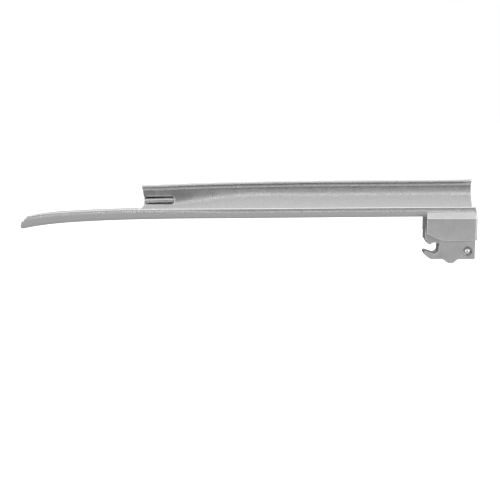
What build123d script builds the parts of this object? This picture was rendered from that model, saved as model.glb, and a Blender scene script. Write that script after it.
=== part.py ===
from build123d import *
import os
from math import sqrt

os.makedirs("parts", exist_ok=True)

# Straight laryngoscope blade with a hook-on heel and a fibre light guide.
# Frame: origin on the hinge pin axis at the centre of the hook,
# +X towards the heel's rear, -X towards the tip, +Z towards the open channel,
# +Y towards the blade's left side, where the upright web stands.

# ---------------------------------------------------------------- dimensions
SHEET = 1.1            # blade sheet thickness
X_REAR = 17.5          # rear end of the blade sheet
X_TIP = -184.3         # tip of the spatula
X_WEB = -130.0         # distal edge of the upright web
TIP_CUT = 1.1          # how far the far edge of the bare spatula sits under the near rim

BLOCK_FRONT = -4.15    # heel block
BLOCK_REAR = 18.2
BLOCK_RIGHT = -7.0
BLOCK_LEFT = 9.3
BLOCK_BOTTOM = 4.4
BLOCK_SHOULDER = 14.1
BEVEL_TOP = 17.3

LUG_HALF = 3.7         # hook plate half thickness
LUG_TOP = 10.5
LUG_FRONT = -4.3
LUG_BOTTOM = -4.65
HOOK_R = 1.9           # hinge pin hook radius
HOOK_CHAMFER = 0.4
HUMP_BOTTOM = -6.5

BALL_R = 1.5875        # 1/8 inch detent balls
BALL_X = 14.8
BALL_Z = -0.9
BALL_DEPTH = 1.05      # ball centre below the side face
BUSH_R = 2.17
BUSH_BORE = 1.65
BUSH_LIP_R = 1.45
BUSH_LIP = 0.33
BUSH_DISH = 0.23        # depth of the dished mouth round the ball
BUSH_LENGTH = 2.2
SPRING_R = 0.95        # mean coil radius
SPRING_WIRE = 0.3
SPRING_TURNS = 4.0

TUBE_R = 1.35          # light guide tube
FIBRE_R = 1.05
WINDOW_Z = 20.75       # axis height of the window slot in the web
WINDOW_R = 1.8
WINDOW_END = -118.0    # centre of the slot's rounded end
INLET_X = 8.5
INLET_Y = 6.5
SADDLE_R = 2.3         # outer radius of the saddle behind the window
FERRULE_R = 2.3
FERRULE_BORE = 1.8
FERRULE_BOTTOM = 4.0
FERRULE_TOP = 8.95


# ------------------------------------------------------------- blade section
def lerp_table(table, x):
    """Linear value at x from a table of (x, value) pairs, falling x."""
    if x >= table[0][0]:
        return table[0][1]
    for (xa, va), (xb, vb) in zip(table, table[1:]):
        if xb <= x <= xa:
            return va + (vb - va) * (x - xa) / (xb - xa)
    return table[-1][1]


# height of the right rim, depth of the trough, height of the top flange
RIM_Z = [(20, 19.35), (0, 19.3), (-30, 19.12), (-60, 18.88), (-90, 18.68), (-110, 18.58),
         (-125, 18.47), (-140, 18.28), (-153, 17.8), (-164, 17.22), (-173, 16.45), (-180, 15.45), (-188, 13.9)]
DEPTH = [(20, 4.85), (0, 4.85), (-60, 4.92), (-100, 5.05), (-125, 5.3), (-140, 5.5), (-160, 5.6),
         (-173, 5.8), (-188, 5.95)]
TOP_H = [(20, 11.15), (0, 10.95), (-60, 10.9), (-90, 10.5), (-110, 10.0), (-125, 9.55), (-188, 9.0)]

HEEL_MID = [(-5.75, -0.55), (-5.5, -2.1), (-4.0, -3.7), (-1.6, -4.3), (0.9, -3.55), (2.9, -1.6),
            (4.55, 1.0), (5.85, 4.0), (6.45, 6.9), (6.45, 8.9), (5.5, 10.25), (3.7, 10.55)]
TIP_MID = [(-5.75, -0.55), (-5.3, -2.2), (-3.5, -3.85), (-0.7, -4.7), (2.1, -4.25), (4.3, -2.7),
           (5.65, -0.6), (6.25, 2.6), (6.45, 5.8), (6.4, 7.6), (5.45, 8.85), (3.7, 9.15)]


def mid_points(x):
    """Centre line of the sheet at station x, as (y, z) points."""
    w = min(max((-82.0 - x) / 46.0, 0.0), 1.0)
    w = w * w * (3 - 2 * w)
    rim, depth, top = lerp_table(RIM_Z, x), lerp_table(DEPTH, x), lerp_table(TOP_H, x)
    out = []
    for (ya, za), (yb, zb) in zip(HEEL_MID, TIP_MID):
        y = ya + (yb - ya) * w
        z = za + (zb - za) * w
        base = 4.85 + (5.25 - 4.85) * w
        tall = 11.1 + (9.7 - 11.1) * w
        if z < 0:
            z = z * (depth - SHEET / 2) / (base - SHEET / 2)
        else:
            z = z * (top - SHEET / 2) / (tall - SHEET / 2)
        out.append((y, rim + z))
    return out


def side_points(mid, shift):
    """Points offset from the centre line by shift, square to it."""
    out = []
    for i, (y, z) in enumerate(mid):
        a = mid[max(i - 1, 0)]
        b = mid[min(i + 1, len(mid) - 1)]
        dy, dz = b[0] - a[0], b[1] - a[1]
        n = sqrt(dy * dy + dz * dz)
        out.append((y + dz / n * shift, z - dy / n * shift))
    return out


def cap_point(mid, first):
    """Crown of the rounded edge at one end of the sheet."""
    a, b = (mid[0], mid[1]) if first else (mid[-1], mid[-2])
    dy, dz = a[0] - b[0], a[1] - b[1]
    n = sqrt(dy * dy + dz * dz)
    return (a[0] + dy / n * SHEET / 2, a[1] + dz / n * SHEET / 2)


STATIONS = [17.5, 0, -30, -60, -90, -110, -125, -140, -153, -164, -173, -180, -188]

# sheet: spatula trough, upright web and curled flange in one bent section
with BuildPart() as blade:
    for x in STATIONS:
        mid = mid_points(x)
        outer = side_points(mid, SHEET / 2)
        inner = side_points(mid, -SHEET / 2)
        with BuildSketch(Plane(origin=(x, 0, 0), x_dir=(0, 1, 0), z_dir=(1, 0, 0))):
            with BuildLine():
                Spline(*outer)
                ThreePointArc(outer[-1], cap_point(mid, False), inner[-1])
                Spline(*inner[::-1])
                ThreePointArc(inner[0], cap_point(mid, True), outer[0])
            make_face()
    loft()
    # bare spatula: the web and flange stop at the window end, with a swept foot
    with BuildSketch(Plane.XZ.offset(-12)):
        with BuildLine():
            low = [(x, lerp_table(RIM_Z, x) - TIP_CUT) for x in (-132.6, -140, -148, -153, -158.5, -164, -173, -180, -190)]
            Spline(*low)
            Polyline(low[-1], (-190, 40), (-131.1, 40), (-130.9, 28.0), (-130.35, 24.5), (-129.8, 20.0), (-129.75, 18.9))
            ThreePointArc((-129.75, 18.9), (-130.45, 17.65), low[0])
        make_face()
    extrude(amount=10.5, mode=Mode.SUBTRACT)
    # rounded tip in plan
    with BuildSketch(Plane.XY):
        with BuildLine():
            Polyline((-178.6, -8.0), (-192, -8), (-192, 9), (-176.8, 9), (-176.8, 5.6))
            ThreePointArc((-176.8, 5.6), (-182.4, 3.5), (X_TIP, -0.8))
            ThreePointArc((X_TIP, -0.8), (-183.0, -4.6), (-178.6, -6.6))
            Line((-178.6, -6.6), (-178.6, -8.0))
        make_face()
    extrude(amount=30, mode=Mode.SUBTRACT)
    # the rim sweeps down round the tip in side view
    with BuildSketch(Plane.XZ.offset(-12)):
        with BuildLine():
            nose = [(-176.0, 16.9), (-178.5, 16.1), (-180.2, 15.25), (-181.6, 14.2), (-182.8, 12.85), (-183.6, 11.4), (-184.1, 9.9), (-184.5, 7.0)]
            Spline(*nose)
            Polyline(nose[-1], (-192, 7.0), (-192, 24), (-176.0, 24), nose[0])
        make_face()
    extrude(amount=24, mode=Mode.SUBTRACT)
    # window slot for the light guide, open at the web's distal edge
    with BuildSketch(Plane.XZ.offset(-9)):
        with BuildLine():
            Polyline((-136, WINDOW_Z + WINDOW_R), (WINDOW_END, WINDOW_Z + WINDOW_R))
            ThreePointArc((WINDOW_END, WINDOW_Z + WINDOW_R), (WINDOW_END + WINDOW_R, WINDOW_Z), (WINDOW_END, WINDOW_Z - WINDOW_R))
            Polyline((WINDOW_END, WINDOW_Z - WINDOW_R), (-136, WINDOW_Z - WINDOW_R), (-136, WINDOW_Z + WINDOW_R))
        make_face()
    extrude(amount=5, mode=Mode.SUBTRACT)
    # countersunk lip of the window on the channel side
    with BuildSketch(Plane.XZ.offset(-6.85)):
        with Locations(((WINDOW_END + WINDOW_R - 138.0) / 2, WINDOW_Z)):
            SlotOverall(WINDOW_END + WINDOW_R + 138.0, 2 * WINDOW_R)
    extrude(amount=2.2, taper=-32, mode=Mode.SUBTRACT)
blade.part.label = "blade"

# ------------------------------------------------------------------ heel block
with BuildPart() as heel_block:
    with BuildSketch(Plane(origin=(BLOCK_FRONT, 0, 0), x_dir=(0, 1, 0), z_dir=(1, 0, 0))):
        with BuildLine():
            Polyline((BLOCK_RIGHT, BLOCK_BOTTOM), (BLOCK_RIGHT, BLOCK_SHOULDER), (-5.95, BEVEL_TOP), (-4.5, 18.2),
                     (2.0, 18.4), (2.6, 17.6), (6.0, 13.6), (7.6, 12.6), (BLOCK_LEFT, 12.0),
                     (BLOCK_LEFT, BLOCK_BOTTOM), (BLOCK_RIGHT, BLOCK_BOTTOM))
        make_face()
    extrude(amount=BLOCK_REAR - BLOCK_FRONT)
    # upright corners: large round at the front left, small ones at the rear
    front_left = heel_block.edges().filter_by(Axis.Z).group_by(Axis.X)[0].sort_by(Axis.Y)[-1]
    fillet(front_left, radius=4.5)
    fillet(heel_block.edges().filter_by(Axis.Z).group_by(Axis.X)[-1], radius=1.0)
    # raked lower front edge
    with BuildSketch(Plane.XZ.offset(-15)):
        with BuildLine():
            Polyline((-8, 2), (-8, 9.54), (-4.31, 7.74), (2.58, 4.4), (2.58, 2), (-8, 2))
        make_face()
    extrude(amount=30, mode=Mode.SUBTRACT)
    # slot that takes the hook plate
    with BuildSketch(Plane.XZ.offset(-LUG_HALF)):
        with BuildLine():
            Polyline((-8, 2), (-8, LUG_TOP), (BLOCK_REAR + 2, LUG_TOP), (BLOCK_REAR + 2, 2), (-8, 2))
        make_face()
    extrude(amount=2 * LUG_HALF, mode=Mode.SUBTRACT)
    # saddle: the block fits the sheet's underside
    saddle = mid_points(7.0)
    with BuildSketch(Plane(origin=(BLOCK_FRONT - 3, 0, 0), x_dir=(0, 1, 0), z_dir=(1, 0, 0))):
        with BuildLine():
            Spline(*saddle[:9])
            Polyline(saddle[8], (saddle[8][0], 40), (saddle[0][0], 40), saddle[0])
        make_face()
    extrude(amount=30, mode=Mode.SUBTRACT)
    add(blade.part, mode=Mode.SUBTRACT)

# ------------------------------------------------------------------- hook plate
with BuildPart() as hook_lug:
    with BuildSketch(Plane.XZ.offset(-LUG_HALF)):
        with BuildLine():
            Polyline((LUG_FRONT, LUG_TOP), (LUG_FRONT, 4.45), (-3.6, 3.7), (-3.2, 2.75))
            ThreePointArc((-3.2, 2.75), (-2.1, 2.12), (-1.3, 2.45))
            Polyline((-1.3, 2.45), (-0.9, 2.9), (1.25, 2.9))
            ThreePointArc((1.25, 2.9), (1.85, 2.65), (2.1, 2.05))
            Line((2.1, 2.05), (1.8395, 0.4755))
            ThreePointArc((1.8395, 0.4755), (1.1, -1.549), (-0.651, -1.785))
            Line((-0.651, -1.785), (-3.6, -0.72))
            ThreePointArc((-3.6, -0.72), (-4.35, -1.25), (-4.2, -2.15))
            ThreePointArc((-4.2, -2.15), (-2.6, -3.9), (0.6, LUG_BOTTOM))
            Polyline((0.6, LUG_BOTTOM), (4.0, LUG_BOTTOM), (5.75, -6.0))
            ThreePointArc((5.75, -6.0), (7.4, HUMP_BOTTOM), (9.1, -6.0))
            Polyline((9.1, -6.0), (10.75, LUG_BOTTOM), (BLOCK_REAR, LUG_BOTTOM), (BLOCK_REAR, LUG_TOP), (LUG_FRONT, LUG_TOP))
        make_face()
    extrude(amount=2 * LUG_HALF)
    # bevels along the hook's seat and the lower outline
    rims = hook_lug.edges().filter_by(lambda e: abs(abs((e @ 0.5).Y) - LUG_HALF) < 0.01)
    seat = rims.filter_by(lambda e: -1.6 < (e @ 0.5).Z < -1.0 and -2.5 < (e @ 0.5).X < 2)
    under = rims.filter_by(lambda e: (e @ 0.5).Z < LUG_BOTTOM + 0.1 and 0.6 < (e @ 0.5).X < 17.5)
    chamfer(seat + under, length=HOOK_CHAMFER)
    chamfer(hook_lug.edges().filter_by(Axis.Z).group_by(Axis.X)[0], length=0.45)
    # cross bore for the two detent balls, wider where the bushes sit
    with Locations((BALL_X, 0, BALL_Z)):
        Cylinder(BUSH_BORE, 40, rotation=(90, 0, 0), mode=Mode.SUBTRACT)
    with Locations((BALL_X, -LUG_HALF, BALL_Z), (BALL_X, LUG_HALF, BALL_Z)):
        Cylinder(BUSH_R, 2 * BUSH_LENGTH, rotation=(90, 0, 0), mode=Mode.SUBTRACT)
hook_lug.part.label = "hook_lug"


# ------------------------------------------------------------- detent hardware
def detent_bush():
    """Sleeve with a staked lip, along +Z, its face at z = 0."""
    with BuildPart() as bush:
        with BuildSketch(Plane.XZ):
            with BuildLine():
                Polyline((BUSH_LIP_R, -BUSH_DISH), (BUSH_R - 0.25, 0), (BUSH_R - 0.1, 0), (BUSH_R, -0.1), (BUSH_R, -BUSH_LENGTH),
                         (BUSH_BORE, -BUSH_LENGTH), (BUSH_BORE, -BUSH_LIP - 0.2), (BUSH_LIP_R, -BUSH_LIP),
                         (BUSH_LIP_R, -BUSH_DISH))
            make_face()
        revolve(axis=Axis.Z)
    return bush.part


detent_bush_right = Plane(origin=(BALL_X, -LUG_HALF, BALL_Z), z_dir=(0, -1, 0)) * detent_bush()
detent_bush_right.label = "detent_bush_right"
detent_bush_left = Plane(origin=(BALL_X, LUG_HALF, BALL_Z), z_dir=(0, 1, 0)) * detent_bush()
detent_bush_left.label = "detent_bush_left"

with BuildPart() as detent_ball_right:
    with Locations((BALL_X, -LUG_HALF + BALL_DEPTH, BALL_Z)):
        Sphere(BALL_R)
detent_ball_right.part.label = "detent_ball_right"

with BuildPart() as detent_ball_left:
    with Locations((BALL_X, LUG_HALF - BALL_DEPTH, BALL_Z)):
        Sphere(BALL_R)
detent_ball_left.part.label = "detent_ball_left"

# coil spring seated on both balls
seat_y = LUG_HALF - BALL_DEPTH - sqrt(BALL_R ** 2 - SPRING_R ** 2)
spring_length = 2 * (seat_y - SPRING_WIRE / 2 - 0.06)
with BuildPart() as spring_upright:
    with BuildLine():
        coil = Helix(pitch=spring_length / SPRING_TURNS, height=spring_length, radius=SPRING_R)
    with BuildSketch(Plane(origin=coil @ 0, z_dir=coil % 0)):
        Circle(SPRING_WIRE / 2)
    sweep(path=coil, is_frenet=True)
detent_spring = Plane(origin=(BALL_X, -spring_length / 2, BALL_Z), z_dir=(0, 1, 0)) * spring_upright.part
detent_spring.label = "detent_spring"

# -------------------------------------------------------- light guide and inlet
# route of the guide: along the web's outer side, down through the left wing
ROUTE = [(-129.9, 6.85, 20.35), (-114.0, 8.45, 20.75), (-80.0, 8.5, 20.3), (-45.0, 7.95, 19.7),
         (-14.0, 7.3, 18.9), (0.5, 6.9, 15.9), (INLET_X, INLET_Y, 11.9), (INLET_X, INLET_Y, 8.6)]


def guide_wire(first, last):
    """Centre line as straight runs joined by tangent arcs, trimmed by first and last."""
    points = [Vector(*p) for p in ROUTE]
    points[0] = points[0] + (points[1] - points[0]).normalized() * first
    points[-1] = points[-1] + (points[-2] - points[-1]).normalized() * last
    edges = []
    start = points[0]
    for k in range(1, len(points) - 1):
        u = points[k] - points[k - 1]
        v = points[k + 1] - points[k]
        a, b = u.normalized(), v.normalized()
        reach = 0.45 * min(u.length, v.length, 22.0)
        if k == len(points) - 2:
            reach = 2.9
        p, q = points[k] - a * reach, points[k] + b * reach
        edges.append(Line(start, p, mode=Mode.PRIVATE))
        edges.append(TangentArc(p, q, tangent=a, mode=Mode.PRIVATE))
        start = q
    edges.append(Line(start, points[-1], mode=Mode.PRIVATE))
    return Wire(edges)


def guide_rod(radius, first, last):
    """Round rod along the guide's centre line."""
    wire = guide_wire(first, last)
    with BuildPart() as rod:
        with BuildSketch(Plane(origin=wire @ 0, z_dir=wire % 0)):
            Circle(radius)
        sweep(path=wire)
    return rod.part


tube_solid = guide_rod(TUBE_R, 0, 0)
core_long = guide_rod(FIBRE_R, -2, -2)
core_exact = guide_rod(FIBRE_R, 0.4, 0)

with BuildPart() as light_guide_tube:
    add(tube_solid)
    add(core_long, mode=Mode.SUBTRACT)
light_guide_tube.part.label = "light_guide_tube"

# fibre bundle: fills the tube and flares to the full inlet face in the ferrule
with BuildPart() as fibre_bundle:
    add(core_exact)
    with BuildSketch(Plane(origin=(INLET_X, INLET_Y, 0), x_dir=(1, 0, 0), z_dir=(0, -1, 0))):
        with BuildLine():
            Polyline((0, FERRULE_BOTTOM + 0.5), (FERRULE_BORE, FERRULE_BOTTOM + 0.5), (FERRULE_BORE, 7.0),
                     (FIBRE_R, 8.6), (0, 8.6), (0, FERRULE_BOTTOM + 0.5))
        make_face()
    revolve(axis=Axis((INLET_X, INLET_Y, 0), (0, 0, 1)))
fibre_bundle.part.label = "fibre_bundle"

# clear polished end in the tube's distal mouth
with BuildPart() as outlet_window:
    add(guide_rod(FIBRE_R, 0, 0))
    add(guide_rod(FIBRE_R + 0.5, 0.4, -1), mode=Mode.SUBTRACT)
outlet_window.part.label = "outlet_window"

with BuildPart() as inlet_ferrule:
    with BuildSketch(Plane(origin=(INLET_X, INLET_Y, 0), x_dir=(1, 0, 0), z_dir=(0, -1, 0))):
        with BuildLine():
            Polyline((FERRULE_BORE, FERRULE_BOTTOM), (FERRULE_R - 0.15, FERRULE_BOTTOM), (FERRULE_R, FERRULE_BOTTOM + 0.15),
                     (FERRULE_R, FERRULE_TOP), (TUBE_R, FERRULE_TOP), (TUBE_R, 8.6), (FIBRE_R, 8.6), (FERRULE_BORE, 7.0),
                     (FERRULE_BORE, FERRULE_BOTTOM))
        make_face()
    revolve(axis=Axis((INLET_X, INLET_Y, 0), (0, 0, 1)))
inlet_ferrule.part.label = "inlet_ferrule"

with BuildPart() as inlet_window:
    with Locations((INLET_X, INLET_Y, FERRULE_BOTTOM + 0.25)):
        Cylinder(FERRULE_BORE, 0.5)
inlet_window.part.label = "inlet_window"

# sealing ring in a groove round the ferrule's mouth
with BuildPart() as inlet_seal:
    with BuildSketch(Plane.XY.offset(BLOCK_BOTTOM)):
        with Locations((INLET_X, INLET_Y)):
            Circle(FERRULE_R + 0.3)
            Circle(FERRULE_R, mode=Mode.SUBTRACT)
    extrude(amount=0.6)
inlet_seal.part.label = "inlet_seal"

# saddle that closes the window behind the guide, brazed to the web's left side
with BuildPart() as guide_saddle:
    add(guide_rod(SADDLE_R, 0.15, 0))
    with Locations((-104.5 + 60, 5, 20)):
        Box(120, 40, 60, mode=Mode.SUBTRACT)
    with Locations((-118, 6.6 - 10, 20)):
        Box(60, 20, 20, mode=Mode.SUBTRACT)
    add(tube_solid, mode=Mode.SUBTRACT)
    add(blade.part, mode=Mode.SUBTRACT)
guide_saddle.part.label = "guide_saddle"

# finish the block: bores for the tube, the ferrule and its seal
with BuildPart() as block_bored:
    add(heel_block.part)
    add(tube_solid, mode=Mode.SUBTRACT)
    with BuildSketch(Plane.XY.offset(2)):
        with Locations((INLET_X, INLET_Y)):
            Circle(FERRULE_R)
    extrude(amount=FERRULE_TOP - 2, mode=Mode.SUBTRACT)
    with BuildSketch(Plane.XY.offset(2)):
        with Locations((INLET_X, INLET_Y)):
            Circle(FERRULE_R + 0.3)
    extrude(amount=BLOCK_BOTTOM + 0.6 - 2, mode=Mode.SUBTRACT)
block_bored.part.label = "heel_block"

# the sheet is relieved where the guide passes through the window and along it
with BuildPart() as blade_relieved:
    add(blade.part)
    add(tube_solid, mode=Mode.SUBTRACT)
blade_relieved.part.label = "blade"

export_step(blade_relieved.part, "parts/blade.step")
export_step(block_bored.part, "parts/heel_block.step")
export_step(hook_lug.part, "parts/hook_lug.step")
export_step(detent_bush_right, "parts/detent_bush_right.step")
export_step(detent_bush_left, "parts/detent_bush_left.step")
export_step(detent_ball_right.part, "parts/detent_ball_right.step")
export_step(detent_ball_left.part, "parts/detent_ball_left.step")
export_step(detent_spring, "parts/detent_spring.step")
export_step(light_guide_tube.part, "parts/light_guide_tube.step")
export_step(fibre_bundle.part, "parts/fibre_bundle.step")
export_step(outlet_window.part, "parts/outlet_window.step")
export_step(inlet_ferrule.part, "parts/inlet_ferrule.step")
export_step(inlet_window.part, "parts/inlet_window.step")
export_step(inlet_seal.part, "parts/inlet_seal.step")
export_step(guide_saddle.part, "parts/guide_saddle.step")
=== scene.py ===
import bpy, bmesh, math
import numpy as np
from mathutils import Vector, Matrix
from mathutils.geometry import delaunay_2d_cdt


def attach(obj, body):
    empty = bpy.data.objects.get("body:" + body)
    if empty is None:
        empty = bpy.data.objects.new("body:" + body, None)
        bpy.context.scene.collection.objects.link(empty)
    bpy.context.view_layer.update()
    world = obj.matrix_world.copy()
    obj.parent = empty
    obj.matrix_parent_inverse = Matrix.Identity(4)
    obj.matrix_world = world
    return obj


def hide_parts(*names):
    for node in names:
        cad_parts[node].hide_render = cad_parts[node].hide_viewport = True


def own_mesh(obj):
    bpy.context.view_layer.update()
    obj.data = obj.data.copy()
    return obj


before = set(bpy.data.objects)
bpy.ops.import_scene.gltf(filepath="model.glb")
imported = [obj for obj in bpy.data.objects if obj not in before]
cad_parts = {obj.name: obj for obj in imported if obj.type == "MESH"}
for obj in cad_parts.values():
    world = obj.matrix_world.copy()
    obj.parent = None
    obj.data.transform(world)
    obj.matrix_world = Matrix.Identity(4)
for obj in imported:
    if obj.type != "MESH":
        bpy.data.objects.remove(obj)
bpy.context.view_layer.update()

scene = bpy.context.scene
scene.view_settings.view_transform = 'Standard'
scene.view_settings.look = 'None'
MM = 0.001

# =====================================================================
# Materials: everything is bare metal, told apart by how it was finished; the edge and rim materials also carry painted
# highlight and the detent sleeves painted shade
# =====================================================================


def links(m):
    return m.node_tree.nodes, m.node_tree.links


def metal(name, col, rough, grain, grain_depth, streak=0.0, streak_axis=(1, 1, 1), spread=0.05, aniso=0.0):
    """Bare steel: fine blasted grain, slow variation in polish, faint handling streaks."""
    m = bpy.data.materials.new(name); m.use_nodes = True
    n, l = links(m)
    b = n['Principled BSDF']
    b.inputs['Base Color'].default_value = (*col, 1)
    b.inputs['Metallic'].default_value = 1.0
    tc = n.new('ShaderNodeTexCoord')
    # slow change of polish over the surface
    slow = n.new('ShaderNodeTexNoise'); slow.inputs['Scale'].default_value = 190.0
    slow.inputs['Detail'].default_value = 4.0; slow.inputs['Roughness'].default_value = 0.6
    l.new(tc.outputs['Object'], slow.inputs['Vector'])
    mr = n.new('ShaderNodeMapRange')
    mr.inputs['From Min'].default_value = 0.3; mr.inputs['From Max'].default_value = 0.7
    mr.inputs['To Min'].default_value = rough - spread; mr.inputs['To Max'].default_value = rough + spread
    l.new(slow.outputs['Fac'], mr.inputs['Value'])
    l.new(mr.outputs['Result'], b.inputs['Roughness'])
    # tone of the metal
    tone = n.new('ShaderNodeValToRGB')
    tone.color_ramp.elements[0].position = 0.25
    tone.color_ramp.elements[1].position = 0.75
    tone.color_ramp.elements[0].color = tuple(c * 0.93 for c in col) + (1,)
    tone.color_ramp.elements[1].color = tuple(min(c * 1.05, 1) for c in col) + (1,)
    blot = n.new('ShaderNodeTexNoise'); blot.inputs['Scale'].default_value = 900.0
    blot.inputs['Detail'].default_value = 6.0; blot.inputs['Roughness'].default_value = 0.7
    l.new(tc.outputs['Object'], blot.inputs['Vector'])
    l.new(blot.outputs['Fac'], tone.inputs['Fac'])
    l.new(tone.outputs['Color'], b.inputs['Base Color'])
    # blasted grain as fine relief
    fine = n.new('ShaderNodeTexNoise'); fine.inputs['Scale'].default_value = grain
    fine.inputs['Detail'].default_value = 3.0; fine.inputs['Roughness'].default_value = 0.75
    l.new(tc.outputs['Object'], fine.inputs['Vector'])
    bump = n.new('ShaderNodeBump'); bump.inputs['Strength'].default_value = 1.0
    bump.inputs['Distance'].default_value = grain_depth
    l.new(fine.outputs['Fac'], bump.inputs['Height'])
    last = bump
    if streak:
        mp = n.new('ShaderNodeMapping'); mp.inputs['Scale'].default_value = streak_axis
        l.new(tc.outputs['Object'], mp.inputs['Vector'])
        sn = n.new('ShaderNodeTexNoise'); sn.inputs['Scale'].default_value = 1500.0
        sn.inputs['Detail'].default_value = 2.0
        l.new(mp.outputs['Vector'], sn.inputs['Vector'])
        b2 = n.new('ShaderNodeBump'); b2.inputs['Strength'].default_value = 1.0
        b2.inputs['Distance'].default_value = streak
        l.new(sn.outputs['Fac'], b2.inputs['Height'])
        l.new(bump.outputs['Normal'], b2.inputs['Normal'])
        last = b2
    l.new(last.outputs['Normal'], b.inputs['Normal'])
    return m


# edges: lower roughness for the polish, and a base colour brighter than the block as painted highlight
mat_edge_polish_highlight = metal('edge_polish_painted_highlight', (0.95, 0.95, 0.952), 0.18, 5200, 0.0000008)
# rims: lower roughness for the polish, and a base colour brighter than the sheet as painted highlight
mat_rim_polish_highlight = metal('rim_polish_painted_highlight', (0.95, 0.95, 0.952), 0.17, 5200, 0.0000005, 0.0000005, (0.05, 1, 1))
mat_blade = metal('satin_sheet', (0.68, 0.68, 0.685), 0.28, 5200, 0.0000022, 0.0000012, (0.05, 1, 1))
mat_block = metal('blasted_block', (0.84, 0.84, 0.845), 0.37, 4200, 0.000018)
mat_hook = metal('blasted_hook', (0.78, 0.78, 0.785), 0.38, 4200, 0.000018)
# the sleeve's dark base colour is painted shade for the shadowed recess round the ball
mat_bush_painted_shade = metal('bush_painted_shade', (0.36, 0.36, 0.365), 0.25, 5200, 0.000006)
mat_ball = metal('polished_ball', (0.93, 0.93, 0.935), 0.08, 5200, 0.000001, 0.000001, (1, 0.2, 1), spread=0.03)
mat_spring = metal('spring_wire', (0.55, 0.55, 0.56), 0.25, 4200, 0.000004)
mat_tube = metal('polished_tube', (0.78, 0.78, 0.785), 0.18, 5200, 0.000004, 0.000003, (0.03, 1, 1))
mat_ferrule = metal('turned_ferrule', (0.70, 0.70, 0.70), 0.22, 5200, 0.000004)


def fibre_material():
    """Polished face of a glass fibre bundle: packed light cores in darker cladding."""
    m = bpy.data.materials.new('fibre_face'); m.use_nodes = True
    n, l = links(m)
    b = n['Principled BSDF']
    tc = n.new('ShaderNodeTexCoord')
    v = n.new('ShaderNodeTexVoronoi'); v.inputs['Scale'].default_value = 9000.0
    l.new(tc.outputs['Object'], v.inputs['Vector'])
    r = n.new('ShaderNodeValToRGB')
    r.color_ramp.elements[0].position = 0.15; r.color_ramp.elements[0].color = (0.72, 0.74, 0.70, 1)
    r.color_ramp.elements[1].position = 0.6; r.color_ramp.elements[1].color = (0.10, 0.10, 0.09, 1)
    l.new(v.outputs['Distance'], r.inputs['Fac'])
    l.new(r.outputs['Color'], b.inputs['Base Color'])
    b.inputs['Roughness'].default_value = 0.12
    return m


def glass_material():
    m = bpy.data.materials.new('window_glass'); m.use_nodes = True
    n, l = links(m)
    b = n['Principled BSDF']
    tc = n.new('ShaderNodeTexCoord')
    v = n.new('ShaderNodeTexNoise'); v.inputs['Scale'].default_value = 2500.0
    v.inputs['Detail'].default_value = 4.0
    l.new(tc.outputs['Object'], v.inputs['Vector'])
    r = n.new('ShaderNodeMapRange')
    r.inputs['To Min'].default_value = 0.02; r.inputs['To Max'].default_value = 0.12
    l.new(v.outputs['Fac'], r.inputs['Value'])
    l.new(r.outputs['Result'], b.inputs['Roughness'])
    c = n.new('ShaderNodeValToRGB')
    c.color_ramp.elements[0].color = (0.90, 0.93, 0.92, 1); c.color_ramp.elements[1].color = (0.97, 0.98, 0.98, 1)
    l.new(v.outputs['Fac'], c.inputs['Fac'])
    l.new(c.outputs['Color'], b.inputs['Base Color'])
    b.inputs['Transmission Weight'].default_value = 0.9
    b.inputs['IOR'].default_value = 1.5
    return m


def rubber_material():
    m = bpy.data.materials.new('seal_rubber'); m.use_nodes = True
    n, l = links(m)
    b = n['Principled BSDF']
    tc = n.new('ShaderNodeTexCoord')
    v = n.new('ShaderNodeTexNoise'); v.inputs['Scale'].default_value = 3500.0
    v.inputs['Detail'].default_value = 5.0
    l.new(tc.outputs['Object'], v.inputs['Vector'])
    c = n.new('ShaderNodeValToRGB')
    c.color_ramp.elements[0].color = (0.018, 0.018, 0.018, 1); c.color_ramp.elements[1].color = (0.045, 0.045, 0.045, 1)
    l.new(v.outputs['Fac'], c.inputs['Fac'])
    l.new(c.outputs['Color'], b.inputs['Base Color'])
    bp = n.new('ShaderNodeBump'); bp.inputs['Distance'].default_value = 0.00002
    l.new(v.outputs['Fac'], bp.inputs['Height']); l.new(bp.outputs['Normal'], b.inputs['Normal'])
    b.inputs['Roughness'].default_value = 0.6
    return m


mat_fibre = fibre_material()
mat_glass = glass_material()
mat_rubber = rubber_material()

# =====================================================================
# Small helpers
# =====================================================================


def new_object(name, verts, faces, mat, normals=None, smooth=True):
    """Mesh object from millimetre points; normals, where given, are per vertex."""
    me = bpy.data.meshes.new(name)
    me.from_pydata([(v[0] * MM, v[1] * MM, v[2] * MM) for v in verts], [], faces)
    me.materials.append(mat)
    for p in me.polygons:
        p.use_smooth = smooth
    me.update()
    ob = bpy.data.objects.new(name, me)
    scene.collection.objects.link(ob)
    if normals is not None:
        me.normals_split_custom_set_from_vertices([tuple(v) for v in normals])
    return ob


def natural(xs, ys):
    """Natural cubic spline through (xs, ys), xs rising; returns a function of an array. ys may have many columns."""
    xs = np.asarray(xs, float); ys = np.asarray(ys, float)
    if ys.ndim == 1:
        ys = ys[:, None]
    n = len(xs); h = np.diff(xs)
    A = np.zeros((n, n)); B = np.zeros((n, ys.shape[1]))
    A[0, 0] = A[-1, -1] = 1
    for i in range(1, n - 1):
        A[i, i - 1] = h[i - 1]; A[i, i] = 2 * (h[i - 1] + h[i]); A[i, i + 1] = h[i]
        B[i] = 6 * ((ys[i + 1] - ys[i]) / h[i] - (ys[i] - ys[i - 1]) / h[i - 1])
    M = np.linalg.solve(A, B)

    def f(x):
        x = np.atleast_1d(np.asarray(x, float))
        k = np.clip(np.searchsorted(xs, x) - 1, 0, n - 2)
        a = (xs[k + 1] - x)[:, None]; b = (x - xs[k])[:, None]; hk = h[k][:, None]
        return (M[k] * a ** 3 + M[k + 1] * b ** 3) / (6 * hk) + (ys[k] / hk - M[k] * hk / 6) * a + (ys[k + 1] / hk - M[k + 1] * hk / 6) * b
    return f


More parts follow.
